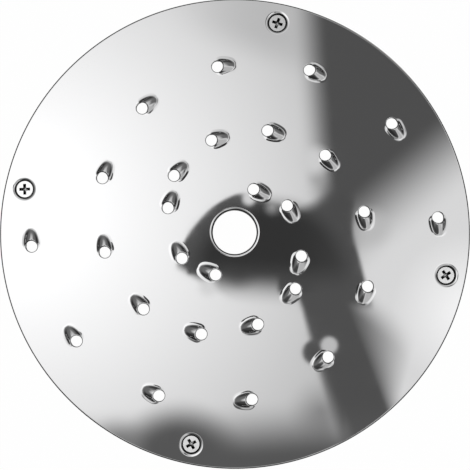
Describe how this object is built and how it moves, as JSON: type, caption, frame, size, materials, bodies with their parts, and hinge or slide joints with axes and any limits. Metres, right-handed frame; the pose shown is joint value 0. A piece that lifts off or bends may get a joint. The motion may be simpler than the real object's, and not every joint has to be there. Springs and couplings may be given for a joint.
{
  "type": "food processor disc",
  "caption": "Round mirror-polished steel grating disc: raised pierced teeth in spirals shred food as it turns on its rolled centre bore; countersunk screws with nuts near the rim.",
  "frame": {"origin": "centre of the bore, in the plane of the sheet's flat underside", "axes": "+Z along the bore axis towards the cutting side; +X through one of the rim screws"},
  "size_m": [0.23, 0.23, 0.0109],
  "materials": {
    "polished_sheet": "mirror-polished stainless steel, not plated",
    "screw_steel": "bright stainless steel",
    "nut_steel": "bright stainless steel"
  },
  "bodies": {
    "root": {"grating_plate": "polished_sheet", "rim_screws": "screw_steel", "rim_nuts": "nut_steel"}
  },
  "joints": []
}
